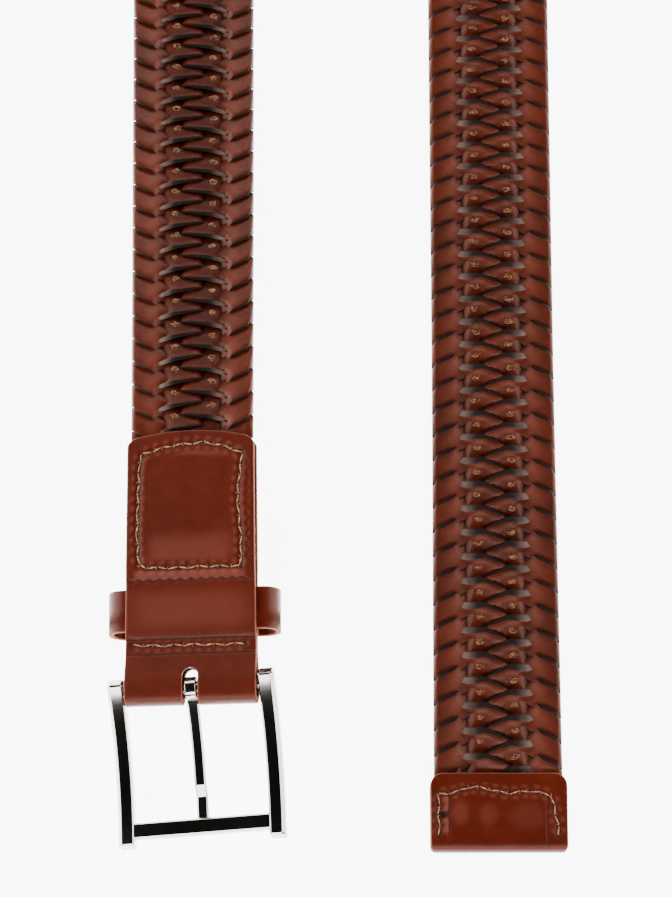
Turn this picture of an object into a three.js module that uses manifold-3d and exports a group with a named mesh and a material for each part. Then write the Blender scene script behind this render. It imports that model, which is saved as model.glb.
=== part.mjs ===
// A braided leather belt, laid down with both ends side by side and its back
// face up. Millimetres, +X right, +Y away from the two ends, +Z up. The
// origin is the middle of the belt's footprint, on the surface it lies on.
//
// Five flat leather strands are woven into one band. The band leaves the
// stitched buckle tab, runs away along the left leg, turns round on its edge
// and comes back along the right leg to the stitched tip.
import * as THREE from 'three';
import { mergeVertices } from 'three/addons/utils/BufferGeometryUtils.js';
import Module from 'manifold-3d';

const wasm = await Module();
wasm.setup();

// General
const clearance = 0.3;
const degree = Math.PI / 180;
const mergeDistance = 1e-5;
const overcut = 1;
const quarterTurn = 90;

// The woven band
const beltWidth = 35;
const bandHalfHigh = 2.5;
const bandHalfLow = 1.75;
const bandEdgeHalf = 1.35;
const scallopDepth = 0.45;
const tipSpread = 1.2;
const tipSpreadLength = 160;
const beltLength = 1040;
const strandPitchMiddle = 6.1;
const strandPitchEnd = 7.4;
const pitchGrowLength = 300;
const tongueWidth = 33;
const tongueThickness = 2.6;
const rowShift = 0.25;

// The lay of the belt
const legSpacing = 86;
const twistEnd = 50;
const twistStart = 235;
const liftLength = 150;
const endLean = 10;

// The buckle tab, a strap of leather folded round the buckle's pin
const tabWidth = 37.3;
const tabFarWidth = 36.2;
const tabSheet = 1.6;
const tabLength = 74.5;
const tabArch = 3.2;
const archFade = 12.8;
const tabCorner = 3;
const seamNear = 11;
const seamWide = 4;
const seamGap = 0.15;
const seamToKeeper = 2.3;
const pinPocketMargin = 1;
const tongueDepth = 37;
const tongueLeadIn = 2;
const foldAheadOfTip = 40;

// The keeper, a closed leather loop held between the two leaves of the tab
const keeperWidth = 12;
const keeperSheet = 1.5;
const keeperOutside = 49;
const keeperCorner = 5.2;
const keeperRoom = 6.2;
const keeperLean = 0.5;

// The buckle
const pinRadius = 1.8;
const pinPlay = 0.15;
const pinSlack = 1.2;
const frameTurn = 3;
const frameBow = 62;
const frameBehindPin = 3.4;
const frameReach = 42.8;
const sideBarWidth = 4.6;
const sideBarDepth = 4.4;
const sideBarBevel = 0.8;
const farBarWidth = 4.8;
const farBarDepth = 2.4;
const farBarInset = 1.9;
const farBarRecess = 0.3;
const frameClear = 0.4;

// The prong
const prongWidth = 3.3;
const prongThickness = 2.1;
const prongTipThickness = 1.5;
const prongTipLength = 10;
const prongStep = 3.2;
const knuckleWall = 1.35;
const prongOverhang = 1.2;
const prongRoot = 1.2;
const prongSeat = 0.25;
const prongSet = 0.2;
const slotWidth = 4.4;
const slotReach = 6.8;

// The tip
const tipWidth = 38.4;
const tipLength = 22.2;
const tipSheet = 1.3;
const tipCorner = 3.6;
const tipEndCorner = 1.2;
const tipEndSlack = 0.01;

// Sizes that follow from the ones above
const column = beltWidth / 5;
const halfBelt = beltWidth / 2;
const bendRadius = legSpacing / 2;
const quarterBend = (bendRadius * Math.PI) / 2;
const foldInner = pinRadius + pinPlay;
const foldOuter = foldInner + tabSheet;
const legLength = (beltLength + foldAheadOfTip - 2 * quarterBend) / 2;
const bendCentreY = legLength;
const foldCentreY = foldAheadOfTip + foldOuter;
const keeperGap = keeperSheet / 2 + clearance;
const tongueGap = tongueThickness / 2 + clearance;
const keeperNear = seamNear + seamWide + seamToKeeper;
const keeperFar = keeperNear + keeperWidth + 2 * clearance;
const keeperDrop = keeperGap + tabSheet + keeperRoom + keeperSheet / 2;
const lean = endLean * degree;
const tipHeight = tongueGap + tipSheet;

const leather = new THREE.MeshStandardMaterial({ color: 0x7a3320, roughness: 0.42 });
const darkLeather = new THREE.MeshStandardMaterial({ color: 0x6b2a1b, roughness: 0.38 });
const metal = new THREE.MeshStandardMaterial({ color: 0xc9c8c4, roughness: 0.12, metalness: 1 });

function smooth(t) {
  const x = Math.min(Math.max(t, 0), 1);
  return x * x * (3 - 2 * x);
}

// Solids
function toSolid(geometry) {
  const bare = geometry.clone();
  bare.deleteAttribute('normal');
  bare.deleteAttribute('uv');
  const merged = mergeVertices(bare, mergeDistance);
  return new wasm.Manifold(new wasm.Mesh({
    numProp: 3,
    vertProperties: new Float32Array(merged.attributes.position.array),
    triVerts: new Uint32Array(merged.index.array),
  }));
}

function toGeometry(solid) {
  const mesh = solid.getMesh();
  const geometry = new THREE.BufferGeometry();
  geometry.setAttribute('position', new THREE.BufferAttribute(mesh.vertProperties, 3));
  geometry.setIndex(new THREE.BufferAttribute(mesh.triVerts, 1));
  return geometry;
}

// A side profile drawn in (Y, Z) and pulled along X, centred on x = 0.
function acrossBelt(shape, width, bevel = 0, curveSegments = 12) {
  const geometry = new THREE.ExtrudeGeometry(shape, {
    depth: width - 2 * bevel,
    bevelEnabled: bevel > 0,
    bevelThickness: bevel,
    bevelSize: bevel,
    bevelOffset: -bevel,
    bevelSegments: 2,
    curveSegments,
    steps: 1,
  });
  geometry.translate(0, 0, bevel - width / 2);
  const turn = new THREE.Matrix4().makeBasis(
    new THREE.Vector3(0, 1, 0),
    new THREE.Vector3(0, 0, 1),
    new THREE.Vector3(1, 0, 0),
  );
  return toSolid(geometry.applyMatrix4(turn));
}

// A plan outline drawn in (X, Y) and pulled through the full height.
function throughHeight(shape, height) {
  const geometry = new THREE.ExtrudeGeometry(shape, {
    depth: height,
    bevelEnabled: false,
    curveSegments: 8,
    steps: 1,
  });
  geometry.translate(0, 0, -height / 2);
  return toSolid(geometry);
}

function ringsToGeometry(rings, closed) {
  const size = rings[0].length;
  const points = rings.flat();
  const height = (k) => points[k].relief ?? 0;
  const index = [];
  const last = closed ? rings.length : rings.length - 1;
  for (let r = 0; r < last; r += 1) {
    const here = r * size;
    const next = ((r + 1) % rings.length) * size;
    for (let i = 0; i < size; i += 1) {
      const j = (i + 1) % size;
      const [a, b, c, d] = [here + i, here + j, next + j, next + i];
      // The diagonal joins the two lower corners, so each crossing stands up.
      if (height(a) + height(c) > height(b) + height(d)) {
        index.push(a, b, d, b, c, d);
      } else {
        index.push(a, b, c, a, c, d);
      }
    }
  }
  if (!closed) {
    const end = (rings.length - 1) * size;
    for (let i = 1; i < size - 1; i += 1) {
      index.push(0, i + 1, i);
      index.push(end, end + i, end + i + 1);
    }
  }
  const geometry = new THREE.BufferGeometry();
  geometry.setAttribute('position', new THREE.Float32BufferAttribute(
    points.flatMap((p) => [p.x, p.y, p.z]), 3));
  geometry.setIndex(index);
  return geometry;
}

// The keeper is a band carried round a rounded rectangle, drawn from the
// middle of its crossing between the leaves. Below the tab it leans towards
// the buckle.
function keeperLoop() {
  const halfWide = (keeperOutside - keeperSheet) / 2;
  const radius = keeperCorner - keeperSheet / 2;
  const corners = [
    { x: halfWide - radius, z: -radius, from: quarterTurn },
    { x: halfWide - radius, z: -keeperDrop + radius, from: 0 },
    { x: -halfWide + radius, z: -keeperDrop + radius, from: -quarterTurn },
    { x: -halfWide + radius, z: -radius, from: -2 * quarterTurn },
  ];
  const steps = 6;
  const rings = [];
  for (const corner of corners) {
    for (let i = 0; i <= steps; i += 1) {
      const angle = (corner.from - (quarterTurn * i) / steps) * degree;
      const out = new THREE.Vector3(Math.cos(angle), 0, Math.sin(angle));
      const middle = new THREE.Vector3(corner.x, 0, corner.z).addScaledVector(out, radius);
      middle.y = -keeperLean * smooth(-middle.z / keeperDrop);
      const along = new THREE.Vector3(0, 1, 0);
      const ring = [[1, -1], [-1, -1], [-1, 1], [1, 1]].map(([o, a]) => middle.clone()
        .addScaledVector(out, (o * keeperSheet) / 2)
        .addScaledVector(along, (a * keeperWidth) / 2));
      rings.push(ring);
    }
  }
  return ringsToGeometry(rings, true);
}

// The buckle's end of the belt leans, and stands on the keeper's low corner.
const keeperGeometry = keeperLoop();

function heightOnCorner(geometry) {
  const place = geometry.attributes.position;
  let lowest = 0;
  for (let k = 0; k < place.count; k += 1) {
    const z = place.getX(k) * Math.sin(lean) + place.getZ(k) * Math.cos(lean);
    lowest = Math.min(lowest, z);
  }
  return -lowest;
}

const tabHeight = heightOnCorner(keeperGeometry);

// The route. It is measured from the middle of the bend: negative on the
// buckle's leg, positive on the tip's leg.
function route(u) {
  const away = Math.abs(u);
  const side = Math.sign(u) || 1;
  const centre = new THREE.Vector3();
  const forward = new THREE.Vector3();
  if (away < quarterBend) {
    const a = u / bendRadius;
    centre.set(bendRadius * Math.sin(a), bendCentreY + bendRadius * Math.cos(a), 0);
    forward.set(Math.cos(a), -Math.sin(a), 0);
  } else {
    centre.set(side * bendRadius, bendCentreY - (away - quarterBend), 0);
    forward.set(0, -side, 0);
  }
  const mouth = quarterBend + legLength - (u < 0 ? foldAheadOfTip + foldOuter + tabLength : tipLength);
  const ramp = u < 0 ? liftLength : 2 * tipLength;
  const lifted = 1 - smooth((mouth - away) / ramp);
  const lift = (u < 0 ? tabHeight : tipHeight) - bandHalfHigh;
  const turned = (Math.PI / 2) * (1 - smooth((away - twistEnd) / (twistStart - twistEnd)));
  const roll = turned + (u < 0 ? lean * lifted : 0);
  const up = new THREE.Vector3(0, 0, 1);
  const inward = new THREE.Vector3().crossVectors(forward, up);
  const across = inward.clone().multiplyScalar(Math.cos(roll)).addScaledVector(up, Math.sin(roll));
  const face = up.clone().multiplyScalar(Math.cos(roll)).addScaledVector(inward, -Math.sin(roll));
  const stand = halfBelt * Math.sin(turned) + bandHalfHigh * Math.cos(turned);
  centre.z = stand + lift * lifted;
  return { centre, across, face };
}

function onBelt(u, v, n, relief = 0) {
  const { centre, across, face } = route(u);
  const point = centre.addScaledVector(across, v).addScaledVector(face, n);
  point.relief = relief;
  return point;
}

// Strand count along the belt, and its inverse. The weave is drawn out
// towards the two ends.
const growStart = quarterBend + legLength - pitchGrowLength;
const growRate = (strandPitchEnd - strandPitchMiddle) / pitchGrowLength;
const growCount = growStart / strandPitchMiddle;

function placeOfStrand(count) {
  const away = Math.abs(count);
  if (away < growCount) return count * strandPitchMiddle;
  const grown = (strandPitchMiddle / growRate) * (Math.exp(growRate * (away - growCount)) - 1);
  return Math.sign(count) * (growStart + grown);
}

function strandAtPlace(u) {
  const away = Math.abs(u);
  if (away < growStart) return u / strandPitchMiddle;
  const pitch = strandPitchMiddle + growRate * (away - growStart);
  return Math.sign(u) * (growCount + Math.log(pitch / strandPitchMiddle) / growRate);
}

// The band spreads a little where it runs into the tip.
function widthAt(u) {
  const fromTip = quarterBend + legLength - u;
  return beltWidth + tipSpread * (1 - smooth(fromTip / tipSpreadLength));
}

// One cross-section of the band. At even rows the second and fourth columns
// of crossings stand proud, at odd rows the first and third.
function bandRing(u, row, bow, bowDepth) {
  const odd = Math.abs(row) % 2 === 1;
  const leftEdge = halfBelt - (odd ? scallopDepth : 0);
  const rightEdge = halfBelt - (odd ? 0 : scallopDepth);
  const high = (proud) => (proud ? bandHalfHigh : bandHalfLow);
  const spread = widthAt(u) / beltWidth;
  const stations = [
    { v: -leftEdge, n: bandEdgeHalf, relief: 0 },
    { v: -1.5 * column, n: high(odd), relief: odd ? 1 : 0 },
    { v: -0.5 * column, n: high(!odd), relief: odd ? 0 : 1 },
    { v: 0.5 * column, n: high(odd), relief: odd ? 1 : 0 },
    { v: 1.5 * column, n: high(!odd), relief: odd ? 0 : 1 },
    { v: rightEdge, n: bandEdgeHalf, relief: 0 },
  ];
  const place = (v) => u + bow * bowDepth * (v / halfBelt) ** 2;
  const top = stations.map((s) => onBelt(place(s.v), s.v * spread, s.n, s.relief));
  const under = [...stations].reverse().map((s) => onBelt(place(s.v), s.v * spread, -s.n, s.relief));
  return [...top, ...under];
}

function tongueRing(u, bowDepth) {
  const scale = tongueWidth / beltWidth;
  const places = [-2.5, -1.5, -0.5, 0.5, 1.5, 2.5].map((k) => k * column * scale);
  const half = tongueThickness / 2;
  const place = (v) => u + bowDepth * (v / halfBelt) ** 2;
  const top = places.map((v) => onBelt(place(v), v, half));
  const under = [...places].reverse().map((v) => onBelt(place(v), v, -half));
  return [...top, ...under];
}

function braidedStrap() {
  const tabEdge = -(bendCentreY + quarterBend - foldCentreY - tabLength);
  const tipEdge = bendCentreY + quarterBend - tipLength;
  const start = tabEdge + 2 * clearance;
  const stop = tipEdge - 2 * clearance;
  const rings = [
    tongueRing(tabEdge - tongueDepth, 0),
    tongueRing(tabEdge + clearance, -tabArch),
  ];
  const firstRow = Math.ceil(2 * (strandAtPlace(start) - rowShift));
  const lastRow = Math.floor(2 * (strandAtPlace(stop) - rowShift));
  rings.push(bandRing(start, firstRow - 1, 1, -tabArch));
  for (let row = firstRow; row <= lastRow; row += 1) {
    const u = placeOfStrand(row / 2 + rowShift);
    const fromTab = u - start;
    const nearTab = 1 - smooth(fromTab / archFade);
    const roomAtTab = strandPitchEnd * rowShift;
    if (fromTab > roomAtTab && stop - u > roomAtTab) {
      rings.push(bandRing(u, row, nearTab, -tabArch));
    }
  }
  rings.push(bandRing(stop, lastRow + 1, 0, 0));
  rings.push(tongueRing(tipEdge - clearance, 0));
  rings.push(tongueRing(tipEdge + tipLength - tipHeight - clearance, 0));
  return ringsToGeometry(rings, false);
}

// Half the gap between the two leaves of the tab, by distance from the fold.
const tabLeaves = [
  { along: 0, halfGap: foldInner },
  { along: 2 * pinSlack + pinPocketMargin, halfGap: foldInner },
  { along: seamNear, halfGap: seamGap },
  { along: seamNear + seamWide, halfGap: seamGap },
  { along: keeperNear, halfGap: keeperGap },
  { along: keeperFar, halfGap: keeperGap },
  { along: tabLength - tongueDepth - tongueLeadIn, halfGap: tongueGap },
  { along: tabLength + tabCorner, halfGap: tongueGap },
];

function foldedSheetShape(leaves, sheet, inner) {
  const shape = new THREE.Shape();
  const outward = [...leaves].reverse();
  const end = outward[0];
  shape.moveTo(end.along, end.halfGap + sheet);
  for (const leaf of outward.slice(1)) shape.lineTo(leaf.along, leaf.halfGap + sheet);
  shape.absarc(0, 0, inner + sheet, Math.PI / 2, (3 * Math.PI) / 2, false);
  for (const leaf of leaves.slice(1)) shape.lineTo(leaf.along, -leaf.halfGap - sheet);
  for (const leaf of outward) shape.lineTo(leaf.along, -leaf.halfGap);
  shape.absarc(0, 0, inner, (3 * Math.PI) / 2, Math.PI / 2, true);
  for (const leaf of leaves.slice(1)) shape.lineTo(leaf.along, leaf.halfGap);
  shape.closePath();
  return shape;
}

function buckleTab() {
  const sheet = acrossBelt(foldedSheetShape(tabLeaves, tabSheet, foldInner), tabWidth);
  const wide = tabWidth / 2;
  const half = tabFarWidth / 2;
  const low = -foldOuter - overcut;
  const shoulder = tabLength - tabArch;
  const outline = new THREE.Shape();
  outline.moveTo(-wide - overcut, low);
  outline.lineTo(wide + overcut, low);
  outline.lineTo(wide + overcut, 0);
  outline.lineTo(wide, 0);
  outline.lineTo(half, shoulder - tabCorner);
  outline.quadraticCurveTo(half, shoulder, half - tabCorner, shoulder + tabArch / 3);
  outline.quadraticCurveTo(0, tabLength + tabArch / 3, -half + tabCorner, shoulder + tabArch / 3);
  outline.quadraticCurveTo(-half, shoulder, -half, shoulder - tabCorner);
  outline.lineTo(-wide, 0);
  outline.lineTo(-wide - overcut, 0);
  outline.closePath();
  const slot = new THREE.Shape();
  slot.moveTo(-slotWidth / 2, low);
  slot.lineTo(slotWidth / 2, low);
  slot.lineTo(slotWidth / 2, slotReach - slotWidth / 2);
  slot.absarc(0, slotReach - slotWidth / 2, slotWidth / 2, 0, Math.PI, false);
  slot.closePath();
  const tall = 4 * foldOuter;
  return toGeometry(sheet.intersect(throughHeight(outline, tall)).subtract(throughHeight(slot, tall)));
}

// The buckle's side bars follow one arc. Its centre lies over the middle of
// the frame, and the pin sits on the arc.
const arcMiddle = (frameReach - frameBehindPin) / 2;
const arcCentre = { y: -arcMiddle, z: Math.sqrt(frameBow ** 2 - arcMiddle ** 2) };
const pinAngle = Math.asin(arcMiddle / frameBow);
const farAngle = -Math.asin((frameReach - arcMiddle) / frameBow);
const nearAngle = Math.asin((frameBehindPin + arcMiddle) / frameBow);

function onArc(angle, radius) {
  return {
    y: arcCentre.y + radius * Math.sin(angle),
    z: arcCentre.z - radius * Math.cos(angle),
  };
}

function arcStrip(fromAngle, toAngle, inner, outer, segments) {
  const shape = new THREE.Shape();
  const at = (k) => fromAngle + ((toAngle - fromAngle) * k) / segments;
  for (let k = 0; k <= segments; k += 1) {
    const p = onArc(at(k), inner);
    if (k === 0) shape.moveTo(p.y, p.z);
    else shape.lineTo(p.y, p.z);
  }
  for (let k = segments; k >= 0; k -= 1) {
    const p = onArc(at(k), outer);
    shape.lineTo(p.y, p.z);
  }
  shape.closePath();
  return shape;
}

function disc(radius, segments) {
  const shape = new THREE.Shape();
  for (let k = 0; k < segments; k += 1) {
    const a = (2 * Math.PI * k) / segments;
    const [y, z] = [radius * Math.cos(a), radius * Math.sin(a)];
    if (k === 0) shape.moveTo(y, z);
    else shape.lineTo(y, z);
  }
  shape.closePath();
  return shape;
}

const frameInside = tabWidth + 2 * frameClear;
const sideBarPlace = frameInside / 2 + sideBarWidth / 2;
const innerArc = frameBow - sideBarDepth / 2;
const outerArc = frameBow + sideBarDepth / 2;
const farBarTop = innerArc + farBarRecess;
const farBarUnder = farBarTop + farBarDepth;
const farBarFar = farAngle + farBarInset / frameBow;
const farBarNear = farBarFar + farBarWidth / frameBow;
const cylinderSides = 20;

function buckleFrame() {
  const sideShape = arcStrip(nearAngle, farAngle, innerArc, outerArc, 14);
  const side = acrossBelt(sideShape, sideBarWidth, sideBarBevel);
  const farShape = arcStrip(farBarNear, farBarFar, farBarTop, farBarUnder, 1);
  const between = frameInside + sideBarWidth;
  const farBar = acrossBelt(farShape, between, 0);
  const pin = acrossBelt(disc(pinRadius, cylinderSides), between, 0);
  const whole = side.translate([sideBarPlace, 0, 0])
    .add(side.translate([-sideBarPlace, 0, 0]))
    .add(farBar)
    .add(pin);
  return toGeometry(whole);
}

// The prong curls round the pin, follows the frame's arc and steps down to
// pass behind the far bar.
function buckleProng() {
  const tipAngle = farBarFar + prongOverhang / frameBow;
  const stepAngle = tipAngle + prongTipLength / frameBow;
  const stemAngle = stepAngle + prongStep / frameBow;
  const rootAngle = pinAngle - prongRoot / frameBow;
  const tipTop = farBarUnder + prongSeat;
  const stemTop = frameBow - prongThickness / 2 - prongSet;
  const stem = new THREE.Shape();
  const segments = 8;
  const line = [];
  for (let k = 0; k <= segments; k += 1) {
    line.push([rootAngle + ((stemAngle - rootAngle) * k) / segments, stemTop]);
  }
  line.push([stepAngle, tipTop], [farBarNear, tipTop], [tipAngle, tipTop]);
  line.push([tipAngle, tipTop + prongTipThickness], [farBarNear, tipTop + prongTipThickness]);
  line.push([stepAngle, tipTop + prongTipThickness]);
  for (let k = segments; k >= 0; k -= 1) {
    const angle = rootAngle + ((stemAngle - rootAngle) * k) / segments;
    line.push([angle, stemTop + prongThickness]);
  }
  line.forEach(([angle, radius], k) => {
    const p = onArc(angle, radius);
    if (k === 0) stem.moveTo(p.y, p.z);
    else stem.lineTo(p.y, p.z);
  });
  stem.closePath();
  const knuckle = disc(pinRadius + pinPlay + knuckleWall, cylinderSides);
  const bore = disc(pinRadius + pinPlay, cylinderSides);
  const whole = acrossBelt(knuckle, prongWidth, 0)
    .add(acrossBelt(stem, prongWidth, 0))
    .subtract(acrossBelt(bore, 2 * prongWidth, 0));
  return toGeometry(whole);
}

function tipCap() {
  const inner = tongueGap;
  const leaves = [
    { along: 0, halfGap: inner },
    { along: tipLength - tipHeight + tipCorner, halfGap: inner },
  ];
  const sheet = acrossBelt(foldedSheetShape(leaves, tipSheet, inner), tipWidth);
  const half = tipWidth / 2;
  const top = tipLength - tipHeight;
  const tall = 4 * tipHeight;
  const outline = new THREE.Shape();
  outline.moveTo(-half + tipEndCorner, -tipHeight - tipEndSlack);
  outline.lineTo(half - tipEndCorner, -tipHeight - tipEndSlack);
  outline.quadraticCurveTo(half, -tipHeight, half, -tipHeight + tipEndCorner);
  outline.lineTo(half, top - tipCorner);
  outline.absarc(half - tipCorner, top - tipCorner, tipCorner, 0, Math.PI / 2, false);
  outline.lineTo(-half + tipCorner, top);
  outline.absarc(-half + tipCorner, top - tipCorner, tipCorner, Math.PI / 2, Math.PI, false);
  outline.lineTo(-half, -tipHeight + tipEndCorner);
  outline.quadraticCurveTo(-half, -tipHeight, -half + tipEndCorner, -tipHeight - tipEndSlack);
  outline.closePath();
  return toGeometry(sheet.intersect(throughHeight(outline, tall)));
}

function named(name, geometry, material) {
  geometry.computeVertexNormals();
  const mesh = new THREE.Mesh(geometry, material);
  mesh.name = name;
  return mesh;
}

const belt = new THREE.Group();
belt.add(named('braided_strap', braidedStrap(), leather));

const buckleEnd = new THREE.Group();
buckleEnd.position.set(-bendRadius, foldCentreY, tabHeight);
buckleEnd.rotation.set(0, -lean, 0);
buckleEnd.add(named('buckle_tab', buckleTab(), darkLeather));
const keeper = named('keeper_loop', keeperGeometry, darkLeather);
keeper.position.set(0, (keeperNear + keeperFar) / 2, 0);
buckleEnd.add(keeper);

// At rest the frame lies down until its low side bar touches the surface.
const roomBelow = (tabHeight - (frameInside / 2 + sideBarWidth) * Math.sin(lean)) / Math.cos(lean);
const lowestCentre = outerArc - roomBelow;
const reachToCentre = Math.hypot(arcCentre.y, arcCentre.z);
const frameDip = Math.acos(lowestCentre / reachToCentre) - Math.atan2(-arcCentre.y, arcCentre.z);
const buckle = new THREE.Group();
buckle.position.set(0, pinSlack, 0);
buckle.rotation.set(0, 0, frameTurn * degree);
const dipped = new THREE.Group();
dipped.rotation.set(frameDip, 0, 0);
dipped.add(named('buckle_frame', buckleFrame(), metal));
dipped.add(named('buckle_prong', buckleProng(), metal));
buckle.add(dipped);
buckleEnd.add(buckle);
belt.add(buckleEnd);

const tip = named('tip_cap', tipCap(), darkLeather);
tip.position.set(bendRadius, tipHeight, tipHeight);
belt.add(tip);

// The finished belt is set down with the origin at the middle of its footprint.
belt.updateMatrixWorld(true);
const box = new THREE.Box3().setFromObject(belt, true);
belt.position.set(-(box.min.x + box.max.x) / 2, -(box.min.y + box.max.y) / 2, -box.min.z);
belt.updateMatrixWorld(true);

export default belt;
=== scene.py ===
# %% [markdown]
# # A braided leather belt
#
# The belt lies with its two ends side by side and its back face up. Five flat
# strands of leather are woven into one band, a stitched tab holds the buckle,
# and a stitched cap closes the tip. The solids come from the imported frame, and
# this lesson gives each of them the shape and finish of the real material.

# %% The frame
import math
import bmesh
import bpy
import numpy as np
from mathutils import Matrix, Vector


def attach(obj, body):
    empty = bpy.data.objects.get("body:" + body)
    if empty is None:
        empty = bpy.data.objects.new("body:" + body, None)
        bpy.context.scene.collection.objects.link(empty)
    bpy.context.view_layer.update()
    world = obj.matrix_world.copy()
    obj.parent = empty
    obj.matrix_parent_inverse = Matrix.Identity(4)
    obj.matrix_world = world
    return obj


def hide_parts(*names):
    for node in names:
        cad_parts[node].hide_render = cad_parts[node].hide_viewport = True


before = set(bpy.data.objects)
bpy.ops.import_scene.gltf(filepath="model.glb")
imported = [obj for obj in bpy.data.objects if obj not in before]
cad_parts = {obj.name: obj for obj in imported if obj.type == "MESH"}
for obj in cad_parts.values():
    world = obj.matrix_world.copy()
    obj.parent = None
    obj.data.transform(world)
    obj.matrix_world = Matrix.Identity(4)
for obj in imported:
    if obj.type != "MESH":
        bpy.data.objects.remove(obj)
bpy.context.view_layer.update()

# %% [markdown]
# ## Camera
#
# The photograph looks down on the belt from far away, almost straight from
# above. A long lens at that distance keeps both legs parallel, as a normal
# lens close by would not. The camera aims at a point on the floor and is then
# turned round its own axis, because the buckle's leg is upright in the picture.

# %% The camera
IMAGE_LONG_SIDE = 897
FOCAL_PIXELS = 4223
AIM = Vector((0.0003, -0.1424, 0.0))
DISTANCE = 1.208
TURN = math.radians(7.09)
HEIGHT_ANGLE = math.radians(77)
ROLL = math.radians(6.99)

look = Vector((
    math.sin(TURN) * math.cos(HEIGHT_ANGLE),
    math.cos(TURN) * math.cos(HEIGHT_ANGLE),
    -math.sin(HEIGHT_ANGLE),
))
lens = bpy.data.cameras.new("camera")
camera = bpy.data.objects.new("camera", lens)
bpy.context.scene.collection.objects.link(camera)
bpy.context.scene.camera = camera
lens.sensor_width = 36
lens.lens = FOCAL_PIXELS * lens.sensor_width / IMAGE_LONG_SIDE
lens.clip_start = 0.05
camera.location = AIM - look * DISTANCE
right = look.cross(Vector((0, 0, 1))).normalized()
upward = right.cross(look)
turned_right = right * math.cos(ROLL) + upward * math.sin(ROLL)
turned_up = upward * math.cos(ROLL) - right * math.sin(ROLL)
camera.rotation_mode = "QUATERNION"
axes = ((*turned_right,), (*turned_up,), (*-look,))
camera.rotation_quaternion = Matrix(axes).transposed().to_quaternion()
print("camera height", round(camera.location.z, 3))

# %% [markdown]
# ## Writing shader maths as sums
#
# A material is a graph of nodes. Joined by hand, even a short formula takes a
# dozen lines. A small class round a socket lets the formula be written as
# Python, and each operator adds its own Math node.

# %% One wire of a material
class Wire:
    """One output of a node."""

    def __init__(self, socket):
        self.socket = socket
        self.nodes = socket.id_data.nodes

    def math(self, kind, first, second):
        node = self.nodes.new("ShaderNodeMath")
        node.operation = kind
        for entry, value in zip(node.inputs, (first, second)):
            plug(entry, value)
        return Wire(node.outputs[0])

    def __add__(self, other):
        return self.math("ADD", self, other)

    __radd__ = __add__

    def __mul__(self, other):
        return self.math("MULTIPLY", self, other)

    __rmul__ = __mul__

    def __sub__(self, other):
        return self.math("SUBTRACT", self, other)

    def __rsub__(self, other):
        return self.math("SUBTRACT", other, self)


def plug(entry, value):
    """A wire is linked to the socket, and a plain value is set on it."""
    if isinstance(value, Wire):
        entry.id_data.links.new(value.socket, entry)
    else:
        entry.default_value = value


print("a wire takes +, - and *")


# %% One finish
class Finish:
    """A material whose nodes are added by name."""

    def __init__(self, name, **shader):
        self.material = bpy.data.materials.new(name)
        self.material.use_nodes = True
        self.tree = self.material.node_tree
        self.tree.nodes.clear()
        self.shader = self.tree.nodes.new("ShaderNodeBsdfPrincipled")
        end = self.tree.nodes.new("ShaderNodeOutputMaterial")
        self.tree.links.new(self.shader.outputs[0], end.inputs["Surface"])
        self.set(**shader)

    def set(self, **shader):
        for name, value in shader.items():
            plug(self.shader.inputs[name.replace("_", " ")], value)

    def node(self, kind, settings=None, sockets=None, output=0):
        node = self.tree.nodes.new("ShaderNode" + kind)
        for name, value in (settings or {}).items():
            setattr(node, name, value)
        for name, value in (sockets or {}).items():
            plug(node.inputs[name], value)
        return Wire(node.outputs[output])

    def reading(self, name):
        """A number kept on the mesh, point by point."""
        return self.node("Attribute", {"attribute_name": name}, output="Fac")

    def place(self):
        return self.node("TexCoord", output="Object")

    def noise(self, scale, detail, rough):
        return self.node("TexNoise", {}, {
            "Vector": self.place(), "Scale": scale, "Detail": detail, "Roughness": rough})

    def fade(self, value, low, high):
        """0 below low, 1 above high."""
        return self.node("MapRange", {"interpolation_type": "SMOOTHSTEP"}, {
            "Value": value, "From Min": low, "From Max": high})

    def mix(self, amount, first, second):
        return self.node("Mix", {"data_type": "RGBA"}, {
            "Factor": amount, 6: first, 7: second}, output=2)

    def bump(self, height, depth, strength=1.0):
        normal = self.node("Bump", {}, {"Height": height, "Distance": depth, "Strength": strength})
        self.set(Normal=normal)


def colour(red, green, blue):
    """A colour read from a picture, from 0 to 255, as the linear one that the shader takes."""
    def straight(level):
        level = level / 255
        return level / 12.92 if level <= 0.04045 else ((level + 0.055) / 1.055) ** 2.4
    return (straight(red), straight(green), straight(blue), 1)


print("a middle grey is", round(colour(128, 128, 128)[0], 3), "in linear light")


# %% [markdown]
# ## Leather
#
# The strands and the tab are cut from the same polished hide. Its surface has
# fine pores, slow drifts of colour from the dye, and a wax shine that is
# broken by handling. A cut edge shows the burnished core, and where a strand's
# edge stands proud its wax makes it glossier and a pale highlight is painted on
# it. A picture texture would do, but noise at the right scale works from every
# side and needs no unwrapping. Numbers kept on the mesh tell where the leather
# is cut, where painted shade darkens it between the strands and in hollows, and
# where a painted sheen or highlight lightens it.

# %% The leather finishes
edge_shadow = colour(22, 6, 4)
painted_sheen_tone = colour(132, 74, 60)
painted_glint_tone = colour(136, 112, 104)
warm_shine = (1.0, 0.82, 0.72, 1.0)
DRIFT_SCALE = 45
CLOUD_SCALE = 260
CREASE_SCALE = 700
PORE_SCALE = 1900
GRAIN_DEPTH = 0.00006
CUT_ROUGHER = 0.45
SHADE_ROUGHER = 0.35


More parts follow.
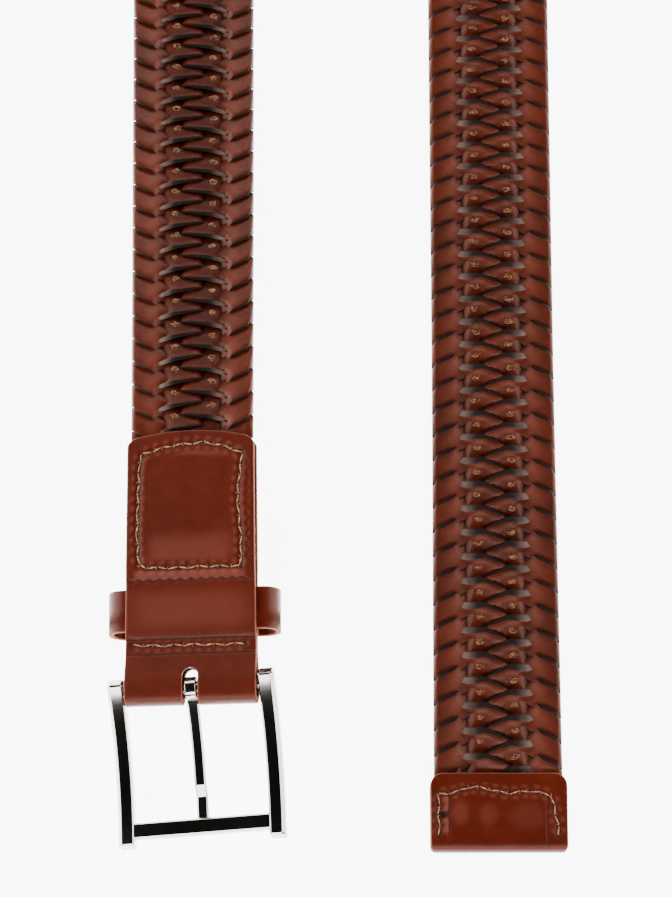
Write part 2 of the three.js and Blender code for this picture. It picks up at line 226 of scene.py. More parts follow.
def leather(name, deep, light, edge, shine):
    """A hide finish from its two dye tones, its cut edge and how rough it is."""
    finish = Finish(name, Specular_IOR_Level=0.26, IOR=1.46, Specular_Tint=warm_shine)
    drift = finish.noise(DRIFT_SCALE, 4, 0.6)
    cloud = finish.noise(CLOUD_SCALE, 3, 0.55)
    cut = finish.reading("cut")
    wax_and_painted_glint = finish.reading("wax_and_painted_glint")
    tone = finish.fade(0.6 * drift + 0.4 * cloud, 0.3, 0.7)
    painted_shade = finish.fade(finish.reading("painted_shade"), 0.3, 1.0)
    # Painted shade: the face is darkened towards a near-black brown between the strands, where they dive
    # under their neighbours, and in the hollows of seams, creases and the worn hole.
    face = finish.mix(0.75 * painted_shade, finish.mix(tone, deep, light), edge_shadow)
    # Painted sheen: the face is lightened towards a pale pinkish tone on the outer facets near their inner
    # ends, on raised parts of the tab and cap, and on their sheen patches.
    face = finish.mix(0.5 * finish.reading("painted_sheen"), face, painted_sheen_tone)
    # Painted highlight: a strand's dark cut edge is lightened towards a pale grey where its edge stands
    # proud at the outer end of a scale; the same number also makes the edge glossier.
    glinting_edge = finish.mix(0.5 * finish.fade(wax_and_painted_glint * (0.5 + cloud), 0.2, 1.4), edge, painted_glint_tone)
    finish.set(Base_Color=finish.mix(finish.fade(cut, 0.15, 0.75), face, glinting_edge))
    grain = finish.node("TexVoronoi", {"feature": "DISTANCE_TO_EDGE"}, {
        "Vector": finish.place(), "Scale": PORE_SCALE})
    pore = finish.fade(grain, 0.0, 0.14)
    crease = finish.noise(CREASE_SCALE, 5, 0.6)
    handled = shine + 0.06 * (cloud - 0.5)
    finish.set(Roughness=handled + cut * (CUT_ROUGHER - 0.5 * wax_and_painted_glint) + SHADE_ROUGHER * painted_shade)
    finish.bump(0.5 * pore + 0.9 * crease, GRAIN_DEPTH, 0.6)
    return finish.material


strand_leather = leather(
    "braided_leather", colour(60, 18, 7), colour(86, 28, 11), colour(15, 6, 4), 0.32)
tab_leather = leather(
    "smooth_leather", colour(68, 18, 7), colour(79, 23, 9), colour(120, 66, 40), 0.3)
print("leathers", strand_leather.name, tab_leather.name)

# %% [markdown]
# ## Metal and thread
#
# The buckle is polished nickel: a mirror with hairline scratches. The thread
# is waxed linen, pale against the leather, and painted shade makes each ply
# darker in its groove than on its back. The ends of thread in the weave have
# lost their wax and are duller. The finishes differ only in a few values, so
# thread has one function of its own.

# %% The metal and thread finishes
nickel = Finish("polished_metal", Metallic=1.0, IOR=1.9)
wear_and_sheen = nickel.noise(90, 4, 0.6)
scratch = nickel.noise(2600, 2, 0.5)
nickel.set(
    Base_Color=nickel.mix(wear_and_sheen, colour(160, 157, 151), colour(186, 183, 178)),
    Roughness=0.07 + 0.09 * wear_and_sheen,
)
nickel.bump(scratch, 0.00001, 0.15)

PLY_SCALE = 1500
PLY_DEPTH = 0.00008


def thread(name, groove, back, **shader):
    finish = Finish(name, **shader)
    ply = finish.noise(PLY_SCALE, 3, 0.6)
    # Painted shade: each ply is darker in its groove, where the ply noise that also lowers the bump is low.
    finish.set(Base_Color=finish.mix(finish.fade(ply, 0.35, 0.65), groove, back))
    finish.bump(ply, PLY_DEPTH, 0.6)
    return finish.material


linen = thread("waxed_thread", colour(120, 68, 36), colour(190, 134, 90), Roughness=0.62, Sheen_Weight=0.2)
dull_linen = thread("weave_thread", colour(84, 48, 28), colour(160, 112, 74), Roughness=0.7)
# Painted shade: dark slits laid on the leather at the needle holes.
hole_shade = Finish("needle_slit_shade", Roughness=0.7)
pit = hole_shade.noise(3000, 2, 0.5)
hole_shade.set(Base_Color=hole_shade.mix(pit, colour(10, 4, 3), colour(30, 12, 8)))
print("finishes", len(bpy.data.materials))

# %% [markdown]
# ## Meshes from rings
#
# Every piece here is a skin over a row of rings: a strand is a ring carried
# along its path, and a folded sheet is a ring carried round its fold. One
# helper joins the rings, and another makes the object, hangs it on its body
# and keeps numbers on the points for the material to read.

# %% Helpers for meshes
MM = 0.001


def ring_faces(rows, size, start=0, closed_row=False):
    """Quads between rings of the same size, with an end cap on each open end."""
    here = np.arange(rows * size).reshape(rows, size) + start
    following = np.roll(here, -1, axis=0) if closed_row else here[1:]
    first = here if closed_row else here[:-1]
    quads = np.stack([
        first,
        np.roll(first, -1, axis=1),
        np.roll(following, -1, axis=1),
        following,
    ], axis=-1).reshape(-1, 4)
    faces = quads.tolist()
    if not closed_row:
        faces.append(here[0][::-1].tolist())
        faces.append(here[-1].tolist())
    return faces


def piece(name, points, faces, material, body, slot=None, nodes=(), numbers=None, weld=0.0, sharp=40):
    """An object in millimetres, in place, riding on its body."""
    mesh = bpy.data.meshes.new(name)
    mesh.from_pydata((np.asarray(points).reshape(-1, 3) * MM).tolist(), [], faces)
    for key in ("cut", "wax_and_painted_glint", "painted_shade", "painted_sheen"):
        values = (numbers or {}).get(key)
        if values is not None:
            kept = mesh.attributes.new(key, "FLOAT", "POINT")
            kept.data.foreach_set("value", np.asarray(values, dtype=np.float32).ravel())
    work = bmesh.new()
    work.from_mesh(mesh)
    if weld:
        bmesh.ops.remove_doubles(work, verts=work.verts, dist=weld * MM)
    bmesh.ops.recalc_face_normals(work, faces=work.faces)
    work.to_mesh(mesh)
    work.free()
    mesh.shade_smooth()
    mesh.set_sharp_from_angle(angle=math.radians(sharp))
    mesh.materials.append(material)
    made = bpy.data.objects.new(name, mesh)
    bpy.context.scene.collection.objects.link(made)
    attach(made, body)
    if nodes:
        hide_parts(*nodes)
    print(name, len(mesh.vertices), "points")
    return made


def smooth(t):
    """A soft step from 0 to 1."""
    t = np.clip(t, 0, 1)
    return t * t * (3 - 2 * t)


print("faces of a box made of two rings", len(ring_faces(2, 4)))


# %% [markdown]
# ## The way of the band
#
# The band leaves the tab, runs up the left leg, turns on its edge round the
# far bend and comes back down the right leg. The same sizes and formulas as in
# the solid model give, for each place along it, the middle of the band, the
# direction across it and the direction out of its face.

# %% Sizes of the band, in millimetres
BELT_WIDTH = 35
HALF_HIGH = 2.5
PITCH_MIDDLE = 6.1
PITCH_END = 7.4
GROW_LENGTH = 300
TIP_SPREAD = 1.2
TIP_SPREAD_LENGTH = 160
BEND_RADIUS = 43
TWIST_END = 50
TWIST_START = 235
LIFT_LENGTH = 150
TAB_LENGTH = 74.5
TAB_SHEET = 1.6
TAB_ARCH = 3.2
FOLD_INNER = 1.95
FOLD_OUTER = FOLD_INNER + TAB_SHEET
FOLD_AHEAD = 40
TIP_LENGTH = 22.2
TIP_HEIGHT = 2.9
TAB_HEIGHT = 13.60338
LEAN = math.radians(10)
OFFSET = np.array([2.29936, -258.96356, 0.0])
QUARTER_BEND = BEND_RADIUS * math.pi / 2
BELT_LENGTH = 1040
LEG = (BELT_LENGTH + FOLD_AHEAD - 2 * QUARTER_BEND) / 2
HALF_BELT = BELT_WIDTH / 2
print("straight part of a leg", round(LEG), "mm")


# %% The route
def route(u):
    """Middle, across and face vectors of the band at the places u."""
    away = np.abs(u)
    side = np.where(u < 0, -1.0, 1.0)
    bent = away < QUARTER_BEND
    a = u / BEND_RADIUS
    x = np.where(bent, BEND_RADIUS * np.sin(a), side * BEND_RADIUS)
    y = np.where(bent, LEG + BEND_RADIUS * np.cos(a), LEG - (away - QUARTER_BEND))
    forward = np.stack([
        np.where(bent, np.cos(a), 0), np.where(bent, -np.sin(a), -side), 0 * u], axis=-1)
    mouth = QUARTER_BEND + LEG - np.where(u < 0, FOLD_AHEAD + FOLD_OUTER + TAB_LENGTH, TIP_LENGTH)
    ramp = np.where(u < 0, LIFT_LENGTH, 2 * TIP_LENGTH)
    lifted = 1 - smooth((mouth - away) / ramp)
    lift = np.where(u < 0, TAB_HEIGHT, TIP_HEIGHT) - HALF_HIGH
    turned = math.pi / 2 * (1 - smooth((away - TWIST_END) / (TWIST_START - TWIST_END)))
    roll = turned + np.where(u < 0, LEAN * lifted, 0)
    up = np.array([0.0, 0.0, 1.0])
    inward = np.cross(forward, up)
    across = inward * np.cos(roll)[..., None] + up * np.sin(roll)[..., None]
    face = up * np.cos(roll)[..., None] - inward * np.sin(roll)[..., None]
    z = HALF_BELT * np.sin(turned) + HALF_HIGH * np.cos(turned) + lift * lifted
    middle = np.stack([x, y, z], axis=-1) + OFFSET
    return middle, across, face


def on_belt(u, v, n):
    middle, across, face = route(u)
    return middle + across * v[..., None] + face * n[..., None]


GROW_START = QUARTER_BEND + LEG - GROW_LENGTH
GROW_RATE = (PITCH_END - PITCH_MIDDLE) / GROW_LENGTH
GROW_COUNT = GROW_START / PITCH_MIDDLE


def place_of_strand(count):
    """How far along the band a crossing lies. The weave is drawn out towards both ends."""
    away = np.abs(count)
    past = np.maximum(away - GROW_COUNT, 0)
    grown = PITCH_MIDDLE / GROW_RATE * (np.exp(GROW_RATE * past) - 1)
    return np.sign(count) * (np.minimum(away, GROW_COUNT) * PITCH_MIDDLE + grown)


TAB_EDGE = -(QUARTER_BEND + LEG - FOLD_AHEAD - FOLD_OUTER - TAB_LENGTH)
TIP_EDGE = QUARTER_BEND + LEG - TIP_LENGTH
print("visible braid", round(TIP_EDGE - TAB_EDGE), "mm")

# %% [markdown]
# ## The braid
#
# On the real belt five strands run in zigzags from edge to edge, over one and
# under one, and fold over the band's edge where they turn. Each strand lies a
# little tilted, like a shingle on the next. A woven pattern painted on a slab
# has no depth, and a cloth simulation of a weave is slow and slips apart. So
# each strand is swept along its own path, worked out on an even lattice and
# then warped on to the belt.
#
# A crossing is five cells long: the strand is under up to the first, over at
# the second, under at the third, and over from the fourth on. The rows below
# give, for places counted in cells, which long edge of the strand is the higher
# one, how early it changes level, and how far its raised edge and the cut face
# under that edge show. On the tip's leg the real weave shows more of the cut
# faces and its edges bend more, which the three tip side values give.

# %% One strand on the even lattice
LATTICE = 7.0
SLOPE = math.atan(0.5)
STRAND_HALF = 3.9
STRAND_THICK = 1.15
WEAVE_LIFT = 0.95
SHINGLE_OUTER = 0.22
SHINGLE_MIDDLE = 0.3
SHINGLE_UNDER = 0.15
CROWN = 0.2
PHASE_LEAN = 0.7
WEAVE_STEEP = 1.7
CUT_SLOPE_OUTER = 0.5
MIDDLE_FLAT = 0.3
RAISED_EDGE = 0.7
RAISED_REACH = 2.2
CELLS = [0.0, 0.9, 1.25, 1.6, 2.0, 2.8, 3.3, 3.8, 4.2, 5.0]
EDGE_BIAS = [1.3, 1.3, 1.3, 1.3, 1.3, 1.3, -1.6, -1.6, 0.4, 0.4]
EARLY = [0.0, 0.0, 0.5, 0.5, 0.0, 0.0, -0.6, -0.6, 0.0, 0.0]
LIP_SHARE = [0.0, 0.0, 1.0, 1.0, 0.8, 0.3, 0.0, 0.0, 0.0, 0.0]
LIP_CUT = [0.0, 0.3, 0.9, 1.0, 0.7, 0.25, 0.0, 0.0, 0.0, 0.0]
FOLD_NARROWING = 0.22
TIP_SIDE_FADE = 120
TIP_SIDE_CUT = 0.9
TIP_SIDE_ARCH = 0.7
SQUEEZE = 0.6
ROW_SHIFT = 0.75
OUTER_FACET = 4
OUTER_REACH = 6
HALF_SPAN = STRAND_HALF / math.cos(SLOPE)
FOLD_LENGTH = WEAVE_LIFT * math.pi / 2
FOLD_START = BELT_WIDTH - FOLD_LENGTH
fold_middle = HALF_BELT - FOLD_LENGTH


def crossing_places():
    """Places along one crossing of the belt, closer together where the strand folds over the edge."""
    fold = np.linspace(0, FOLD_LENGTH, 7)
    straight = np.linspace(FOLD_LENGTH, FOLD_START, 31)[1:]
    return np.concatenate([fold, straight, FOLD_START + fold[1:-1]])


crossing = crossing_places()
print("sections in one crossing", len(crossing))

# %% Where a point of a strand lies across the belt
def carried(place, offset, height):
    """Across and out of the belt, for a point of one crossing.

    The strand folds over the belt's edge at both ends of its crossing, and
    weaves under, over, under and over on its way.
    """
    phase = np.clip((place + PHASE_LEAN * offset) / LATTICE, 1, 4)
    bias, early, lip, lip_cut = (
        np.interp(place / LATTICE, CELLS, values) for values in (EDGE_BIAS, EARLY, LIP_SHARE, LIP_CUT))
    drive = -WEAVE_STEEP * np.cos(math.pi * (phase - 1)) - bias * offset / HALF_SPAN + early
    over = np.sin(math.pi / 2 * np.clip(drive, -1, 1))
    starts = np.clip((FOLD_LENGTH - place) / WEAVE_LIFT, 0, math.pi / 2)
    ends = np.clip((place - FOLD_START) / WEAVE_LIFT, 0, math.pi / 2)
    bend = starts + ends
    sign = np.where(starts > 0, -1.0, 1.0)
    level = np.where(bend > 0, sign * np.cos(bend), over)
    middle = np.clip(place - HALF_BELT, -fold_middle, fold_middle) + sign * WEAVE_LIFT * np.sin(bend)
    far = smooth((np.abs(middle) - OUTER_FACET) / OUTER_REACH)
    above = SHINGLE_MIDDLE + (SHINGLE_OUTER - SHINGLE_MIDDLE) * far
    shingle = SHINGLE_UNDER + (above - SHINGLE_UNDER) * smooth((level + 1) / 1.3)
    crown = CROWN * (1 - (offset / HALF_SPAN) ** 2) * level
    out = WEAVE_LIFT * level + crown - shingle * offset * np.cos(bend) + height * np.cos(bend)
    out = out + RAISED_EDGE * lip * (1 - smooth((offset + HALF_SPAN) / RAISED_REACH))
    shown = np.clip(np.sign(height) * level, 0, 1) * (place > 3 * LATTICE) * CUT_SLOPE_OUTER
    shown = (shown + lip_cut * (height > 0)) * (offset < 0) * np.cos(bend)
    past = place - 2 * LATTICE
    flatter = -MIDDLE_FLAT * past * (1 - smooth((np.abs(past) - 6.5) / 5))
    # Where the raised edge at a scale's outer end is glossier and gets its painted highlight.
    wax_and_painted_glint = np.interp(place / LATTICE, [0.9, 1.2, 1.3, 1.9], [0, 1, 1, 0]) + 0 * offset
    return middle + height * np.sin(bend), out, 1 - FOLD_NARROWING * smooth(bend), shown, flatter, wax_and_painted_glint


print("height over and under", carried(np.array([14.0, 21.0]), np.zeros(2), np.zeros(2))[1].round(2))


# %% From the lattice to the belt
def lay_down(v, u, n):
    """A point of the lattice on the real belt, squeezed flat inside the tab and the cap."""
    place = place_of_strand(u / LATTICE - ROW_SHIFT)
    spread = 1 + TIP_SPREAD / BELT_WIDTH * (1 - smooth((QUARTER_BEND + LEG - place) / TIP_SPREAD_LENGTH))
    inside = np.maximum(TAB_EDGE - place, place - TIP_EDGE)
    return on_belt(place, v * spread, n * (1 - SQUEEZE * smooth((inside + 1.5) / 2)))


edge_point = lay_down(np.array([HALF_BELT]), np.zeros(1), np.zeros(1))[0]
print("edge of the band in the far bend", edge_point.round(1))

# %% The section of a strand
HIDDEN_END = 5.0
side_places = np.array([-0.99, -0.93, -0.6, -0.2, 0.2, 0.6, 0.93, 0.99])
side_heights = np.array([0.8, 1.0, 1.0, 1.0, 1.0, 1.0, 1.0, 0.8])
ring_places = np.concatenate([side_places, [1.0], side_places[::-1], [-1.0]])
ring_heights = np.concatenate([side_heights, [0.0], -side_heights[::-1], [0.0]]) * STRAND_THICK / 2
ring_cut = (np.abs(ring_places) > 0.95).astype(float)
near_edge = np.clip((np.abs(ring_places) - 0.3) / 0.6, 0, 1)
print("points round a strand", len(ring_places))


# %% The five strands
# How strong the painted shade is where a strand dives under its neighbours, on each leg, and over the outer
# facets of the tip's leg.
SHADE_MIDDLE = 0.62
SHADE_MIDDLE_TIP = 0.42
SHADE_OUTER_TIP = 0.54
MOST_TRIPS = 36


def painted_shade_parts(cells, tip_side):
    """Where painted shade darkens a strand, from 0 to 1: where it dives under its neighbours, and over the
    outer facets on the tip's leg.
    """
    most = SHADE_MIDDLE + (SHADE_MIDDLE_TIP - SHADE_MIDDLE) * tip_side
    outer = SHADE_OUTER_TIP * tip_side * smooth((cells - 3) / 0.3)
    return np.maximum(most * np.exp(-((cells - 2) / 0.85) ** 4), outer)


def strand(number):
    """One strand, from inside the tab to inside the cap."""
    trips = np.arange(-MOST_TRIPS, MOST_TRIPS + 1)
    trip = np.repeat(trips, len(crossing))
    place = np.tile(crossing, len(trips))
    u = (trip * BELT_WIDTH + place) / 2 - LATTICE * number
    middle = place_of_strand(u / LATTICE - ROW_SHIFT)
    kept = (middle > TAB_EDGE - HIDDEN_END) & (middle < TIP_EDGE + HIDDEN_END)
    trip, place, u = (part[kept, None] for part in (trip, place, u))
    way = np.where(trip % 2 == 0, 1.0, -1.0)
    offset = ring_places * HALF_SPAN
    v, n, narrowing, slope, flatter, wax_and_painted_glint = carried(
        place + 0 * offset, offset + 0 * place, way * ring_heights)
    tip_side = smooth(u / TIP_SIDE_FADE)
    leaning = 1 + TIP_SIDE_CUT * tip_side
    arched = np.where(flatter > 0, 1 + TIP_SIDE_ARCH * tip_side, 1 - tip_side)
    along = u + offset * narrowing + flatter * arched + slope * leaning * near_edge
    points = lay_down(way * v, along, n)
    cells = place / LATTICE
    numbers = {
        "cut": ring_cut + 0 * n,
        "wax_and_painted_glint": wax_and_painted_glint,
        # painted highlight on the outer facets near their inner ends
        "painted_sheen": 0.6 * np.exp(-((cells - 4.05) / 0.35) ** 2) * np.exp(-((offset + 0.8) / 3) ** 2),
        # painted shade where the strand dives under its neighbours
        "painted_shade": painted_shade_parts(cells, tip_side) + 0 * n,
    }
    faces = ring_faces(len(points), len(ring_places))
    return piece(
        f"strand_{number + 1}", points, faces, strand_leather, "strap", "braided_leather",
        ["braided_strap"], numbers, sharp=60)


for number in range(5):
    strand(number)

# %% [markdown]
# ## Folded leather
#
# The tab and the tip cap are each one strip of thicker leather, folded over
# and sewn through both leaves. A flat board with bevelled corners would miss
# the soft swell over the parts that lie inside, and the pull of each stitch.
# The strip is a grid of points in layers: the outer skin, the inner skin, and
# a rounded cut edge between them. Small hollows along the seams are added to
# the outer skin before the thread is laid in.

# %% Seams
STITCH = 2.95


def groove(distance, width):
    """A soft line or spot: 1 in its middle, falling off over its width."""
    return np.exp(-(distance / width) ** 2)


def seam_points(corners, step):
    """Points a stitch apart along a line of corners."""
    corners = np.asarray(corners, dtype=float)
    lengths = np.hypot(*np.diff(corners, axis=0).T)
    run = np.concatenate([[0], np.cumsum(lengths)])
    count = round(run[-1] / step)
    places = np.linspace(0, run[-1], count + 1)
    return np.stack([np.interp(places, run, corners[:, k]) for k in (0, 1)], axis=-1)


def seam_distance(x, y, seam):
    """Distance from each point to a seam, and the stitch count along it at the nearest place."""
    best = np.full(x.shape, 1e9)
    along = np.zeros(x.shape)
    for k, (start, end) in enumerate(zip(seam[:-1], seam[1:])):
        step = end - start
        share = ((x - start[0]) * step[0] + (y - start[1]) * step[1]) / (step @ step)
        share = np.clip(share, 0, 1)
        gap = np.hypot(x - start[0] - share * step[0], y - start[1] - share * step[1])
        nearer = gap < best
        best = np.where(nearer, gap, best)
        along = np.where(nearer, k + share, along)
    return best, along


def seam_relief(x, y, seam):
    """Hollow along the thread, deepest at the holes, with a small pucker beside each stitch."""
    gap, along = seam_distance(x, y, seam)
    pull = 0.5 + 0.5 * np.cos(2 * math.pi * along)
    hollow = -(0.16 + 0.22 * pull) * groove(gap, 0.75)
    pucker = 0.12 * (1 - pull) * groove(gap - 1.4, 0.55)
    return hollow + pucker


print("stitches in 30 mm", len(seam_points([(0, 0), (30, 0)], STITCH)) - 1)

# %% A folded strip
# Depth of a hollow at which its painted shade is full.
SHADE_HOLLOW_DEPTH = 0.4
# Height of a raise at which its painted sheen is full.
RAISED_SHEEN = 0.2
EDGE_ROUND = 0.45
EDGE_PLACES = np.array([0.0, 0.12, 0.4])
END_ROUND = {0.0: 0.55, 0.15: 0.88}
END_CUT = {0.0: 1.0, 0.15: 0.5}


def strip_rows(shares):
    """Rows from one leaf's end round the fold to the other's: kind, then distance from the end or angle."""
    ends = list(END_ROUND)
    angles = np.linspace(math.pi / 2, -math.pi / 2, 19)[1:-1]
    rows = [("up", distance, 0.0) for distance in ends]
    rows += [("up", EDGE_ROUND, 1 - share) for share in shares[::-1]]
    rows += [("fold", angle, 0.0) for angle in angles]
    rows += [("down", EDGE_ROUND, 1 - share) for share in shares]
    return rows + [("down", distance, 0.0) for distance in ends[::-1]]


def folded_strip(leaf, sheet, inner, half_width, end, relief, slot, steps):
    """Two half strips, left and right of the middle, as rings from leaf end to leaf end.

    leaf gives half the gap between the leaves, end the length of a leaf at
    each place across, and slot the half width of the cut at each place along.
    steps gives the number of places across and the rows' shares of the length.
    """
    across_steps, along_steps = steps
    halves = []
    for side in (-1, 1):
        outer, inner_skin, cuts, hollows, sheen_rows, holes = [], [], [], [], [], []
        for kind, first, second in strip_rows(along_steps):
            sign = -1 if kind == "down" else 1
            if kind == "fold":
                middle_y = -math.cos(first) * (inner + sheet)
            else:
                middle_y = end(0.0) * (1 - second)
            hole = slot(max(middle_y, 0))
            span = half_width(middle_y) - hole
            across = np.linspace(EDGE_PLACES[-1], span - EDGE_PLACES[-1], across_steps)[1:-1]
            x = hole + np.concatenate([EDGE_PLACES, across, span - EDGE_PLACES[::-1]])
            round_off = np.ones(len(x))
            round_off[-3:] = [1.0, 0.9, 0.6]
            cut = np.zeros(len(x))
            cut[-2:] = [0.5, 1.0]
            if hole > 0.05:
                round_off[:3] = [0.6, 0.9, 1.0]
                cut[:2] = [1.0, 0.5]
            lifted = wear_and_sheen = 0 * x
            if kind == "fold":
                out = (inner + sheet / 2) + sheet / 2 * round_off
                inn = (inner + sheet / 2) - sheet / 2 * round_off
                outer.append(np.stack([x, -np.cos(first) * out, np.sin(first) * out], axis=-1))
                inner_skin.append(np.stack([x, -np.cos(first) * inn, np.sin(first) * inn], axis=-1))
            else:
                y = np.maximum((end(x) - first) * (1 - second), 0)
                both = np.minimum(round_off, END_ROUND.get(first, 1.0))
                gap = leaf(y)
                if kind == "up":
                    lifted, wear_and_sheen = relief(side * x, y)
                    lifted = lifted * (both > 0.95)
                out = gap + sheet / 2 + sheet / 2 * both + lifted
                inn = gap + sheet / 2 - sheet / 2 * both
                outer.append(np.stack([x, y, sign * out], axis=-1))
                inner_skin.append(np.stack([x, y, sign * inn], axis=-1))
                cut = np.maximum(cut, END_CUT.get(first, 0.0))
            cuts.append(np.concatenate([cut, cut[::-1]]))
            # Painted shade in the hollows of the outer skin.
            hollows.append(np.concatenate([np.clip(-lifted / SHADE_HOLLOW_DEPTH, 0, 1), 0 * x]))
            # Painted sheen on raised parts and where the relief gives one.
            painted_sheen = np.clip(wear_and_sheen + lifted / RAISED_SHEEN, 0, 1)
            sheen_rows.append(np.concatenate([painted_sheen, 0 * x]))
            holes.append(hole)
        skin = np.concatenate([np.array(outer), np.array(inner_skin)[:, ::-1]], axis=1)
        skin[..., 0] *= side
        halves.append((skin, np.array(cuts), np.array(hollows), np.array(sheen_rows), np.array(holes)))
    return halves


print("rows round a strip of two steps", len(strip_rows(np.array([0.0, 1.0]))))


# %% Skin and object of a strip
def strip_faces(rows, size, holes, start):
    """Quads of one half strip, without a wall where the two halves meet."""
    here = np.arange(rows * size).reshape(rows, size) + start
    first, second = here[:-1], here[1:]
    quads = np.stack([first, np.roll(first, -1, axis=1), np.roll(second, -1, axis=1), second], axis=-1)
    open_wall = (holes[:-1] > 0) | (holes[1:] > 0)
    faces = quads[:, :-1].reshape(-1, 4).tolist() + quads[open_wall, -1].tolist()
    half = size // 2
    for row in (here[0], here[-1]):
        for k in range(half - 1):
            faces.append([row[k], row[k + 1], row[size - 2 - k], row[size - 1 - k]])
    return faces


def strip_piece(name, halves, carry, **extras):
    """Both halves of a strip as one object, with its cut edges, its painted shade in the hollows and its
    painted sheen kept on the points.
    """
    points, faces = [], []
    kept = {"cut": [], "painted_shade": [], "painted_sheen": []}
    start = 0
    for skin, cut, hollow, wear_and_sheen, holes in halves:
        rows, size = skin.shape[:2]
        faces += strip_faces(rows, size, holes, start)
        points.append(carry(skin.reshape(-1, 3)))
        for key, values in zip(kept, (cut, hollow, wear_and_sheen)):
            kept[key].append(values.ravel())
        start += rows * size
    numbers = {key: np.concatenate(values) for key, values in kept.items()}
    return piece(name, np.concatenate(points), faces, tab_leather, "strap", "smooth_leather",
                 numbers=numbers, weld=0.001, sharp=50, **extras)


print("quads of a strip of two rings", len(strip_faces(2, 8, np.zeros(2), 0)))


# %% Thread
def tube(path, radius, sides=6):
    """A thin round thread along a path, closed at both ends."""
    path = np.asarray(path, dtype=float)
    heading = np.gradient(path, axis=0)
    heading /= np.linalg.norm(heading, axis=1)[:, None]
    up = np.array([0.0, 0.0, 1.0])
    aside = np.cross(heading, up)
    aside /= np.maximum(np.linalg.norm(aside, axis=1), 1e-6)[:, None]
    raised = np.cross(aside, heading)
    angle = np.linspace(0, 2 * math.pi, sides, endpoint=False)
    taper = np.ones(len(path))
    taper[[0, -1]] = 0.55
    ring = aside[:, None] * np.cos(angle)[None, :, None] + raised[:, None] * np.sin(angle)[None, :, None]
    return path[:, None] + ring * (radius * taper)[:, None, None]


def joined_tubes(name, tubes, material, body, slot):
    """Many tubes as one object."""
    points, faces = [], []
    start = 0
    for rings in tubes:
        rows, size = rings.shape[:2]
        points.append(rings.reshape(-1, 3))
        faces += ring_faces(rows, size, start)
        start += rows * size
    return piece(name, np.concatenate(points), faces, material, body, slot, sharp=80)


print("points of a short thread", tube([(0, 0, 0), (1, 0, 0)], 0.1).size // 3)

# %% Stitches
loose_ends = np.random.default_rng(5)
ZIGZAG = 0.32
PLY_RADIUS = 0.12
PLY_APART = 0.11
STITCH_RISE = 0.3
FIBRE_RADIUS = 0.06
SLIT_RADIUS = 0.2


def sewn(seam, surface, side):
    """Two plies of thread over each stitch, slanted a little, and a loose fibre at its end."""
    tubes = []
    share = np.linspace(0.06, 0.94, 7)
    for k, (start, end) in enumerate(zip(seam[:-1], seam[1:])):
        step = end - start
        normal = np.array([-step[1], step[0]]) / np.hypot(*step)
        for ply in (-1, 1):
            twist = ply * PLY_APART * np.cos(math.pi * share * 2)
            slant = ZIGZAG * (share - 0.5) * (1 if k % 2 else -1) * 2
            x, y = (start + step * share[:, None] + normal * (slant + twist)[:, None]).T
            rise = STITCH_RISE * np.sin(math.pi * share) - 0.06 + 0.06 * ply * np.sin(math.pi * share * 2)
            tubes.append(tube(np.stack([x, y, side * (surface(x, y) + rise)], axis=-1), PLY_RADIUS))
        bow = np.linspace(-1, 1, 5)[:, None]
        loose = end + step * loose_ends.uniform(-0.25, 0.1)
        loose = loose + normal * bow * loose_ends.uniform(0.35, 0.6)
        x, y = (loose + step * 0.12 * (1 - bow ** 2) * loose_ends.choice([-1, 1])).T
        tubes.append(tube(np.stack([x, y, side * (surface(x, y) + 0.26)], axis=-1), FIBRE_RADIUS, 4))
    return tubes


def shaded_needle_slits(seam, surface, side):
    """A short dark slit of painted shade at each hole, across the line of the seam at a slant."""
    tubes = []
    for k, place in enumerate(seam):
        step = seam[min(k + 1, len(seam) - 1)] - seam[max(k - 1, 0)]
        step = step / np.hypot(*step)
        way = np.array([-step[1], step[0]]) * 0.8 + step * 0.6
        share = np.linspace(-0.6, 0.6, 4)
        x, y = (place + way * share[:, None]).T
        tubes.append(tube(np.stack([x, y, side * (surface(x, y) + 0.02)], axis=-1), SLIT_RADIUS, 5))
    return tubes


def sewn_through(name, seams, surface, carry):
    """Threads, and dark slits of painted shade at the needle holes, on both faces, as two objects."""
    threads, holes = [], []
    for side in (1, -1):
        for seam in seams:
            threads += [carry(t) for t in sewn(seam, lambda x, y: surface(x, y) - 0.2, side)]
            holes += [carry(t) for t in shaded_needle_slits(seam, lambda x, y: surface(x, y) - 0.15, side)]
    joined_tubes(f"{name}_stitches", threads, linen, "strap", "smooth_leather")
    joined_tubes(f"{name}_shaded_needle_slits", holes, hole_shade.material, "strap", "smooth_leather")


print("a stitch is", STITCH, "mm long")


# %% [markdown]
# ## The buckle tab
#
# The tab folds round the buckle's pin, with a slot for the prong. Its far end
# is gently arched, and a sewn box with a curved top holds the band between the
# leaves. Nearer the fold a second row of stitches shuts off the pocket of the
# pin, and between the two seams the leather swells over the keeper.

# %% The tab's place
cos_lean, sin_lean = math.cos(LEAN), math.sin(LEAN)
TAB_PLACE = np.array([-BEND_RADIUS, FOLD_AHEAD + FOLD_OUTER, TAB_HEIGHT]) + OFFSET


def from_tab(points):
    """From the tab's own directions, across, along and out, to the frame's."""
    x, y, z = points[..., 0], points[..., 1], points[..., 2]
    turned = np.stack([x * cos_lean - z * sin_lean, y, x * sin_lean + z * cos_lean], axis=-1)
    return turned + TAB_PLACE


print("the tab's fold lies at", TAB_PLACE.round(1))

